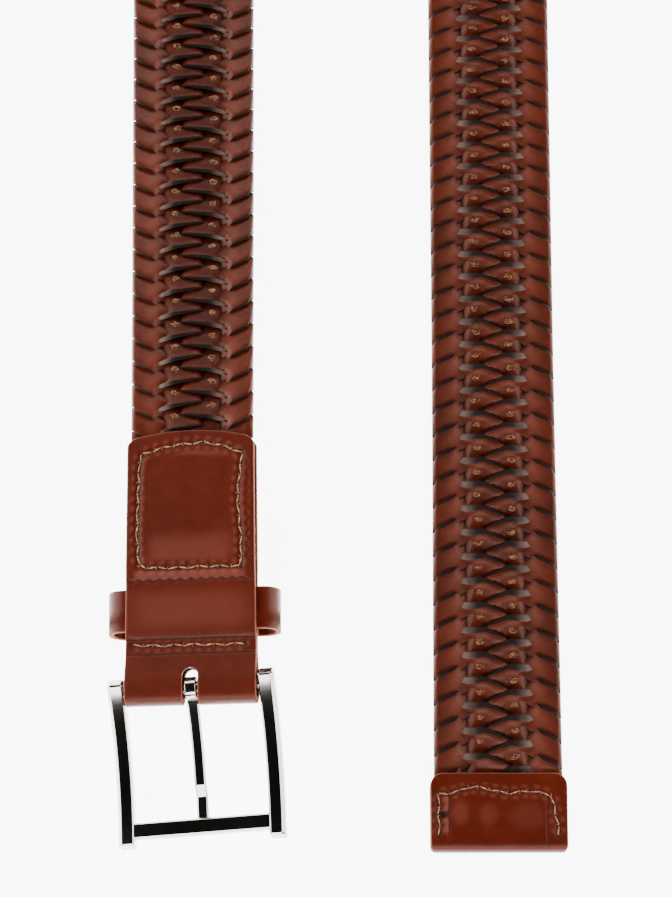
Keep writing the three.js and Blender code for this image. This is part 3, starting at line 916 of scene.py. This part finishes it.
# %% The tab's leaves
TAB_HALF_NEAR = 18.65
TAB_HALF_FAR = 18.1
TAB_SHOULDER = TAB_LENGTH - TAB_ARCH
TAB_CORNER = 3.0
SLOT_HALF = 2.2
SLOT_REACH = 6.8
gap_places = [0, 3.4, 11, 15, 17.3, 29.9, 35.5, 80]
gap_halves = [1.95, 1.95, 0.15, 0.15, 1.05, 1.05, 1.6, 1.6]
fine_places = np.linspace(0, 80, 801)
fine_halves = np.interp(fine_places, gap_places, gap_halves)
softening = np.exp(-np.linspace(-2, 2, 17) ** 2)
fine_halves = np.convolve(np.pad(fine_halves, 8, mode="edge"), softening / softening.sum(), "valid")


def tab_gap(y):
    return np.interp(y, fine_places, fine_halves)


def tab_half_width(y):
    return TAB_HALF_NEAR + (TAB_HALF_FAR - TAB_HALF_NEAR) * min(max(y / TAB_SHOULDER, 0), 1)


def tab_end(x):
    """Length of a leaf at each place across: an arch with rounded corners."""
    far = np.clip(np.abs(x) / TAB_HALF_FAR, 0, 1)
    corner = np.clip((np.abs(x) - (TAB_HALF_FAR - TAB_CORNER)) / TAB_CORNER, 0, 1)
    return TAB_LENGTH - TAB_ARCH * 0.75 * far ** 2 - 2.0 * (1 - np.sqrt(1 - corner ** 2 * 0.999))


def tab_slot(y):
    if y >= SLOT_REACH:
        return 0.0
    past = max(y - (SLOT_REACH - SLOT_HALF), 0)
    return math.sqrt(max(SLOT_HALF ** 2 - past ** 2, 0))


def tab_surface(x, y):
    return tab_gap(y) + TAB_SHEET


print("the tab is", round(float(2 * tab_surface(0, TAB_LENGTH)), 2), "mm thick at its end")

# %% The tab's seams and marks
TOOTH_LINE = 16.2
SCALLOP_LINE = 31.9
BAND_END = 34.0
KEEPER_SWELL = 23
box_seam = seam_points([
    (14.3, 35.0), (14.6, 42.9), (13.8, 50.4), (13.4, 55.9), (14.0, 60.4), (14.8, 67.2), (11.5, 68.9),
    (8.6, 69.9), (3.5, 70.9), (0.0, 70.6), (-4.8, 70.3), (-9.5, 69.2), (-14.5, 67.7), (-14.9, 55.8),
    (-15.2, 44.3), (-14.5, 35.4), (-5.0, 35.0), (5.0, 35.2), (14.3, 35.0)], STITCH)
near_seam = seam_points([(-16.4, 13.6), (-8.0, 13.2), (0.0, 13.4), (8.0, 13.1), (15.4, 13.3)], STITCH)


def tab_relief(x, y):
    """Height added to the tab's face, and where a sheen is painted on it: seams, creases, tooth marks and
    the scalloped band in the height, painted sheens on the lower box, the swell over the keeper and the
    band.
    """
    wave = 0.3 * np.cos(2 * math.pi * x / STITCH)
    relief = seam_relief(x, y, box_seam) + seam_relief(x, y, near_seam)
    relief -= 0.35 * groove(y - (SCALLOP_LINE - 0.2) - wave, 0.35)
    relief -= 0.36 * groove(y - 15.1, 0.35) + 0.3 * groove(y - 10.9, 0.35)
    teeth = 0.5 + 0.5 * np.cos(2 * math.pi * y / STITCH)
    relief -= 0.22 * teeth * groove(x - TOOTH_LINE, 0.4) * ((y > 37) & (y < 66))
    band = smooth((y - SCALLOP_LINE - wave) / 0.4) * (1 - smooth((y - BAND_END) / 0.6))
    band *= 1 - smooth((np.abs(x) - 14.5) / 2)
    relief += 0.1 * band
    relief += 0.1 * groove(y - 68.0 + 0.012 * (x - 1) ** 2, 0.7) * np.exp(-((x - 3) / 7) ** 4)
    # Painted sheens on the lower box, on the swell over the keeper and on the scalloped band.
    sheen = 0.45 * smooth((y - 36.6) / 1.5) * (1 - smooth((y - 41) / 6))
    sheen *= 1 - smooth((np.abs(x) - 9) / 5)
    swell_sheen = 0.4 * np.exp(-((y - KEEPER_SWELL) / 5.5) ** 4) * np.exp(-(x / 17) ** 6)
    return relief, sheen + swell_sheen + 0.25 * band


print("stitches of the box", len(box_seam) - 1, "and near the fold", len(near_seam) - 1)

# %% The tab
tab_rows = np.concatenate([
    np.linspace(0, 16, 72, endpoint=False), np.linspace(16, 30.5, 22, endpoint=False),
    np.linspace(30.5, 36, 24, endpoint=False), np.linspace(36, TAB_LENGTH, 84)]) / TAB_LENGTH
tab_halves = folded_strip(
    tab_gap, TAB_SHEET, FOLD_INNER, tab_half_width, tab_end, tab_relief, tab_slot, (40, tab_rows))
strip_piece("tab", tab_halves, from_tab, nodes=["buckle_tab"])
sewn_through("tab", (box_seam, near_seam), tab_surface, from_tab)

# %% [markdown]
# ## The tip cap
#
# The tip is closed by a shorter folded strip. Its seam runs up both sides and
# waves along the top, pressed creases stand beside it, and one corner has a
# worn hole.

# %% The cap's shape
TIP_SHEET = 1.3
TIP_GAP = 1.6
TIP_HALF = 19.2
TIP_CORNER = 3.6
TIP_FOLD_CORNER = 1.5
TIP_TOP = TIP_LENGTH - TIP_HEIGHT
TIP_PLACE = np.array([BEND_RADIUS, TIP_HEIGHT, TIP_HEIGHT]) + OFFSET
tip_seam = seam_points([
    (-16.9, 1.5), (-17.0, 6.0), (-16.9, 13.3), (-12.5, 13.6), (-7.6, 15.6), (-3.5, 14.8), (-0.1, 13.9),
    (2.8, 13.5), (8.9, 14.2), (14.6, 12.9), (15.4, 9.5), (16.3, 5.2), (16.6, 1.5)], STITCH)


def tip_half_width(y):
    """The cap's half width, rounded off where the fold ends."""
    past = min(max(-y - (TIP_HEIGHT - TIP_FOLD_CORNER), 0) / TIP_FOLD_CORNER, 1)
    return TIP_HALF - TIP_FOLD_CORNER * (1 - math.sqrt(1 - 0.999 * past ** 2))


def tip_end(x):
    corner = np.clip((np.abs(x) - (TIP_HALF - TIP_CORNER)) / TIP_CORNER, 0, 1)
    return TIP_TOP - TIP_CORNER * (1 - np.sqrt(1 - corner ** 2 * 0.999))


def tip_gap(y):
    return TIP_GAP + 0 * y


def tip_surface(x, y):
    return TIP_GAP + TIP_SHEET + 0 * x


print("the cap is", 2 * (TIP_GAP + TIP_SHEET), "mm thick with", len(tip_seam) - 1, "stitches")


# %% The cap's marks and the cap
def blot(x, y, wide, long):
    """A soft-edged oval."""
    return np.exp(-((x / wide) ** 2 + (y / long) ** 2) ** 2)


def tip_relief(x, y):
    """Height added to the cap's face, and where a sheen is painted on it: seam, creases and worn hole in
    the height, and painted sheen spots.
    """
    below = 1 - smooth((y - 12) / 1.5)
    relief = seam_relief(x, y, tip_seam)
    relief -= (0.26 * groove(x + 14.0, 0.35) + 0.26 * groove(x - 13.6, 0.35)) * below
    relief += 0.16 * groove(x + 14.9, 0.5) * below * smooth((y - 1) / 3)
    relief -= 0.12 * groove(y - 16.9, 0.4) * groove(x + 8, 6)
    # Painted sheen spots.
    sheen_patches = 0.4 * blot(x + 11, y - 8, 2.6, 3.6)
    sheen_patches += 0.3 * blot(x + 3, y - 7.5, 2.6, 3.4)
    sheen_patches += 0.25 * blot(x - 8, y - 7, 5, 4)
    return relief - 0.8 * blot(x + 15.7, y - 7.6, 1.3, 1.05), sheen_patches


def from_tip(points):
    return points + TIP_PLACE


cap_halves = folded_strip(
    tip_gap, TIP_SHEET, TIP_GAP, tip_half_width, tip_end, tip_relief, lambda y: 0.0,
    (48, np.linspace(0, 1, 66)))
strip_piece("cap", cap_halves, from_tip, nodes=["tip_cap"])
sewn_through("cap", [tip_seam], tip_surface, from_tip)

# %% [markdown]
# ## The keeper
#
# The loose end of a worn belt slides through the keeper, a closed loop of the
# same leather. It is a flat band carried round a rounded rectangle, so it is
# swept with a ring that has rounded long edges. Its edges are left raw and pale.

# %% The keeper loop
KEEPER_HALF_WIDE = 23.75
KEEPER_CORNER = 4.45
KEEPER_DROP = 9.6
KEEPER_LEAN = 0.5
KEEPER_PLACE = 23.6
KEEPER_HALF = 6.0
KEEPER_THICK = 1.5
KEEPER_ROUND = ((0.0, 0.45), (0.05, 0.18), (0.23, 0.05), (0.55, 0.0))


def keeper_section():
    """The band's section, out of the loop and along the belt, with rounded long edges."""
    thick = KEEPER_THICK / 2
    top = [(thick - deep, KEEPER_HALF - back) for deep, back in KEEPER_ROUND]
    under = [(-out, along) for out, along in top[::-1]]
    half = [(thick, -2.8), (thick, 0.0), (thick, 2.8)] + top + under + [(-thick, 2.8)]
    return np.array(half + [(-out, -along) for out, along in half])


def keeper_rings():
    """Rings round the loop, clockwise from the top of its right side, and where they are cut."""
    section = keeper_section()
    side = KEEPER_HALF_WIDE - KEEPER_CORNER
    low = KEEPER_CORNER - KEEPER_DROP
    corners = (
        (side, -KEEPER_CORNER, 90), (side, low, 0), (-side, low, -90), (-side, -KEEPER_CORNER, -180))
    path = []
    for x, z, start in corners:
        for angle in np.radians(start - np.linspace(0, 90, 13)):
            reach = KEEPER_CORNER * math.cos(angle)
            path.append((x + reach, z + KEEPER_CORNER * math.sin(angle), angle))
    x, z, angle = np.array(path).T
    out = np.stack([np.cos(angle), 0 * angle, np.sin(angle)], axis=-1)
    middle = np.stack([x, KEEPER_PLACE - KEEPER_LEAN * smooth(-z / KEEPER_DROP), z], axis=-1)
    creased = -0.09 * groove(np.abs(section[:, 1]) - 4.9, 0.3) * (section[:, 0] > 0.6)
    rings = middle[:, None] + out[:, None] * (section[:, 0] + creased)[None, :, None]
    rings = rings + np.array([0, 1.0, 0]) * section[:, 1][None, :, None]
    cut = (np.abs(section[:, 1]) > KEEPER_HALF - 0.3).astype(float)
    return rings, np.broadcast_to(cut, rings.shape[:2])


rings, cut = keeper_rings()
piece("keeper", from_tab(rings), ring_faces(*rings.shape[:2], closed_row=True), tab_leather, "strap",
      "smooth_leather", ["keeper_loop"], {"cut": cut}, sharp=70)

# %% [markdown]
# ## The buckle
#
# Its two side bars bow down between the pin and the far bar. Each is ground
# flat on top with a chamfer at both sides, which is what draws the thin bright
# lines round the dark faces. A box with an even bevel would shine alike all
# round, so each bar is an eight-sided section carried along the bow, and a
# small bevel modifier rounds what is left sharp.

# %% The buckle's place
PIN_SLACK = 1.2
BUCKLE_TURN = math.radians(3)
FRAME_BOW = 62.0
FRAME_AHEAD = 42.8
FRAME_BEHIND = 3.4
ARC_MIDDLE = (FRAME_AHEAD - FRAME_BEHIND) / 2
ARC_HEIGHT = math.sqrt(FRAME_BOW ** 2 - ARC_MIDDLE ** 2)
PIN_ANGLE = math.asin(ARC_MIDDLE / FRAME_BOW)
NEAR_ANGLE = math.asin((FRAME_BEHIND + ARC_MIDDLE) / FRAME_BOW)
FAR_ANGLE = -NEAR_ANGLE
FRAME_INSIDE = 38.1
SIDE_WIDE = 4.6
SIDE_DEEP = 4.4
room_below = (TAB_HEIGHT - (FRAME_INSIDE / 2 + SIDE_WIDE) * sin_lean) / cos_lean
BUCKLE_DIP = math.acos((FRAME_BOW + SIDE_DEEP / 2 - room_below) / FRAME_BOW) - PIN_ANGLE
print("buckle dips", round(math.degrees(BUCKLE_DIP), 2), "degrees")


def from_buckle(points):
    x, y, z = points[..., 0], points[..., 1], points[..., 2]
    dip_cos, dip_sin = math.cos(BUCKLE_DIP), math.sin(BUCKLE_DIP)
    y, z = y * dip_cos - z * dip_sin, y * dip_sin + z * dip_cos
    turn_cos, turn_sin = math.cos(BUCKLE_TURN), math.sin(BUCKLE_TURN)
    x, y = x * turn_cos - y * turn_sin, x * turn_sin + y * turn_cos
    return from_tab(np.stack([x, y + PIN_SLACK, z], axis=-1))


def on_arc(angle, radius):
    """A point of the side profile, along and up, on the buckle's bow."""
    return -ARC_MIDDLE + radius * np.sin(angle), ARC_HEIGHT - radius * np.cos(angle)


print("the frame starts", round(float(on_arc(NEAR_ANGLE, FRAME_BOW)[0]), 2), "mm behind the pin")


# %% Bars of metal
UNDER_CHAMFER = 0.45


def inset(section, depth):
    """A closed section moved inward by a depth all round."""
    ahead = np.roll(section, -1, axis=0) - section
    ahead /= np.linalg.norm(ahead, axis=1)[:, None]
    back = np.roll(ahead, 1, axis=0)
    inward = np.stack([-(back + ahead)[:, 1], (back + ahead)[:, 0]], axis=-1)
    return section + inward * depth / (1 + np.sum(back * ahead, axis=1))[:, None]


def bowed_bar(stations, left, right, left_chamfer, right_chamfer):
    """A bar along the bow, from (angle, top radius, thickness) stations, chamfered at its ends too."""
    rings = []
    for k, (angle, top, thick) in enumerate(stations):
        section = np.array([
            (left, top + left_chamfer), (left + left_chamfer, top), (right - right_chamfer, top),
            (right, top + right_chamfer), (right, top + thick - UNDER_CHAMFER),
            (right - UNDER_CHAMFER, top + thick), (left + UNDER_CHAMFER, top + thick),
            (left, top + thick - UNDER_CHAMFER)])
        y, z = on_arc(angle, section[:, 1])
        if k in (0, len(stations) - 1):
            smaller = inset(section, UNDER_CHAMFER)
            inner_y, inner_z = on_arc(angle, smaller[:, 1])
            end = np.stack([smaller[:, 0], inner_y, inner_z], axis=-1)
            step = UNDER_CHAMFER / FRAME_BOW * (-1 if k == 0 else 1)
            y, z = on_arc(angle + step, section[:, 1])
            full = np.stack([section[:, 0], y, z], axis=-1)
            rings += [end, full] if k == 0 else [full, end]
        else:
            rings.append(np.stack([section[:, 0], y, z], axis=-1))
    return np.array(rings)


def straight_bar(profile, left, right):
    """A profile of (along, up) points pulled straight across the buckle."""
    return np.array([
        np.concatenate([np.full((len(profile), 1), x), profile], axis=1) for x in (left, right)])


def metal_piece(name, parts, body, node, rounding):
    """Bars and rings of metal as one object, with their sharp edges rounded."""
    points, faces = [], []
    start = 0
    for rings, closed in parts:
        points.append(from_buckle(rings).reshape(-1, 3))
        faces += ring_faces(*rings.shape[:2], start, closed)
        start += rings.shape[0] * rings.shape[1]
    made = piece(
        name, np.concatenate(points), faces, nickel.material, body, "polished_metal", [node], sharp=35)
    bevel = made.modifiers.new("rounded_edges", "BEVEL")
    bevel.width = rounding * MM
    bevel.segments = 2
    bevel.harden_normals = True
    bevel.limit_method = "ANGLE"
    bevel.angle_limit = math.radians(28)
    return made


print("points round a bar", bowed_bar([(0, 1, 1), (0.1, 1, 1)], 0, 4, 1, 1).shape[1])

# %% The frame of the buckle
OUTER_CHAMFER = 1.0
INNER_CHAMFER = 0.45
inner_arc = FRAME_BOW - SIDE_DEEP / 2
side_stations = [(angle, inner_arc, SIDE_DEEP) for angle in np.linspace(NEAR_ANGLE, FAR_ANGLE, 41)]
inner_edge = FRAME_INSIDE / 2
outer_edge = inner_edge + SIDE_WIDE
bar_middle = (inner_edge + outer_edge) / 2
FAR_BAR_SUNK = 0.3
FAR_BAR_THICK = 2.4
FAR_BAR_BACK = 1.9
FAR_BAR_WIDE = 4.8
LIP = 0.5
PIN_RADIUS = 1.8
far_top = inner_arc + FAR_BAR_SUNK
far_under = far_top + FAR_BAR_THICK
far_far = FAR_ANGLE + FAR_BAR_BACK / FRAME_BOW
far_near = far_far + FAR_BAR_WIDE / FRAME_BOW
lip_angle = LIP / FRAME_BOW
far_profile = np.array([on_arc(angle, radius) for angle, radius in (
    (far_near, far_top + LIP), (far_near - lip_angle, far_top), (far_far + lip_angle, far_top),
    (far_far, far_top + LIP), (far_far, far_under - LIP), (far_far + lip_angle, far_under),
    (far_near - lip_angle, far_under), (far_near, far_under - LIP))])
circle = np.linspace(0, 2 * math.pi, 40, endpoint=False)
pin_profile = np.stack([PIN_RADIUS * np.cos(circle), PIN_RADIUS * np.sin(circle)], axis=-1)
frame_parts = [
    (bowed_bar(side_stations, -outer_edge, -inner_edge, OUTER_CHAMFER, INNER_CHAMFER), False),
    (bowed_bar(side_stations, inner_edge, outer_edge, INNER_CHAMFER, OUTER_CHAMFER), False),
    (straight_bar(far_profile, -bar_middle, bar_middle), False),
    (straight_bar(pin_profile, -bar_middle, bar_middle), False),
]
metal_piece("frame_bars", frame_parts, "frame", "buckle_frame", 0.15)

# %% The prong
PRONG_HALF = 1.65
PRONG_THICK = 2.1
PRONG_TIP_THICK = 1.5
PRONG_CHAMFER = 0.45
PRONG_BACK = 1.2
PRONG_TIP_RUN = 10
PRONG_STEP_RUN = 3.2
PRONG_ROOT = 1.2
PRONG_RAISED = 0.2
PRONG_REST = 0.25
tip_angle = far_far + PRONG_BACK / FRAME_BOW
step_angle = tip_angle + PRONG_TIP_RUN / FRAME_BOW
stem_angle = step_angle + PRONG_STEP_RUN / FRAME_BOW
root_angle = PIN_ANGLE - PRONG_ROOT / FRAME_BOW
stem_top = FRAME_BOW - PRONG_THICK / 2 - PRONG_RAISED
prong_stations = [(angle, stem_top, PRONG_THICK) for angle in np.linspace(root_angle, stem_angle, 19)]
prong_stations += [
    (angle, far_under + PRONG_REST, PRONG_TIP_THICK) for angle in np.linspace(step_angle, tip_angle, 9)]
KNUCKLE_OUTER = 3.3
KNUCKLE_INNER = 1.95
OUTER_RIM = 0.25
INNER_RIM = 0.2


def knuckle():
    """A ring of metal round the pin, with its rims chamfered."""
    rim = [
        (KNUCKLE_OUTER, PRONG_HALF - OUTER_RIM), (KNUCKLE_OUTER - OUTER_RIM, PRONG_HALF),
        (KNUCKLE_INNER + INNER_RIM, PRONG_HALF), (KNUCKLE_INNER, PRONG_HALF - INNER_RIM)]
    section = rim + [(r, -x) for r, x in rim[::-1]]
    return np.array([[(x, r * math.cos(a), r * math.sin(a)) for r, x in section] for a in circle])


prong_bar = bowed_bar(prong_stations, -PRONG_HALF, PRONG_HALF, PRONG_CHAMFER, PRONG_CHAMFER)
metal_piece("prong_bar", [(prong_bar, False), (knuckle(), True)], "prong", "buckle_prong", 0.12)

# %% [markdown]
# ## Ends of thread in the weave
#
# Small tangles of dull thread show between the strands, in two lines along the
# middle of the band, once for each crossing. Each is a few short loose loops.
# Painted dots would stay flat, so they are real loops of fine thread, and a
# fixed seed scatters them the same way each time.

# %% The thread tangles
TANGLE_PLACES = ((-4.7, 0.26), (5.9, 0.70))
TANGLE_RISE = 1.85
TANGLE_TIP_SHIFT = 1.0
TANGLE_LOOPS = 7
FINE_RADIUS = 0.09
END_CLEAR = 3
scatter = np.random.default_rng(11)


def tangle(centre, across, face, along):
    """A few short loose loops about one point."""
    loops = []
    for _ in range(TANGLE_LOOPS):
        turn = scatter.uniform(0, 2 * math.pi)
        width, length = scatter.uniform(0.5, 1.1), scatter.uniform(0.25, 0.6)
        a = turn + np.linspace(0, scatter.uniform(3.6, 5.4), 8)
        offset = scatter.uniform(-0.45, 0.45, 2)
        x = width * np.cos(a) + offset[0]
        y = length * np.sin(a) + offset[1]
        z = 0.18 * np.sin(2 * a + turn)
        path = centre + across * x[:, None] + along * y[:, None] + face * z[:, None]
        loops.append(tube(path, FINE_RADIUS, 4))
    return loops


tangles = []
for count in range(-90, 100):
    for aside, shift in TANGLE_PLACES:
        place = place_of_strand(np.array([count + shift]))
        if TAB_EDGE + END_CLEAR < place[0] < TIP_EDGE - END_CLEAR:
            middle, across, face = (part[0] for part in route(place))
            along = np.cross(face, across)
            inner = aside - TANGLE_TIP_SHIFT * (aside > 0) * smooth(place[0] / TIP_SIDE_FADE)
            tangles += tangle(middle + across * inner + face * TANGLE_RISE, across, face, along)
joined_tubes("weave_threads", tangles, dull_linen, "strap", "braided_leather")
print("loops", len(tangles))

# %% [markdown]
# ## Floor and light
#
# The belt lies on a plain white table. Four large soft lights stand round it,
# low enough that none is mirrored straight up into the camera. That keeps the
# flat faces of the buckle dark, and draws a soft shine along the leather.

# %% The floor
floor_finish = Finish("table", Roughness=0.6, Emission_Color=(1, 1, 1, 1), Emission_Strength=8.0)
speck = floor_finish.noise(30, 2, 0.5)
floor_finish.set(Base_Color=floor_finish.mix(speck, colour(240, 240, 240), colour(248, 248, 248)))
HALF_TABLE = 3
corners = [(x * HALF_TABLE, y * HALF_TABLE, 0) for x, y in ((-1, -1), (1, -1), (1, 1), (-1, 1))]
floor_mesh = bpy.data.meshes.new("floor")
floor_mesh.from_pydata(corners, [], [(0, 1, 2, 3)])
floor_mesh.materials.append(floor_finish.material)
floor = bpy.data.objects.new("floor", floor_mesh)
bpy.context.scene.collection.objects.link(floor)
print("table", 2 * HALF_TABLE, "m wide")


# %% The lights
WORLD_STRENGTH = 0.012


def soft_light(name, place, size, power):
    lamp = bpy.data.lights.new(name, "AREA")
    lamp.shape = "RECTANGLE"
    lamp.size, lamp.size_y = size
    lamp.energy = power
    made = bpy.data.objects.new(name, lamp)
    bpy.context.scene.collection.objects.link(made)
    made.location = place
    made.rotation_mode = "QUATERNION"
    made.rotation_quaternion = (AIM - Vector(place)).to_track_quat("-Z", "Y")
    return made


soft_light("light_far", (0.0, 1.5, 1.0), (1.8, 0.7), 22)
soft_light("light_left", (-1.5, -0.1, 0.72), (1.8, 1.3), 52)
soft_light("light_right", (1.5, -0.1, 0.72), (1.8, 1.3), 46)
soft_light("light_near", (0.0, -1.7, 0.9), (1.8, 0.6), 34)
world = bpy.data.worlds.new("studio")
bpy.context.scene.world = world
world.use_nodes = True
background = world.node_tree.nodes["Background"]
background.inputs["Color"].default_value = (1, 1, 1, 1)
background.inputs["Strength"].default_value = WORLD_STRENGTH
print("lights", len(bpy.data.lights))
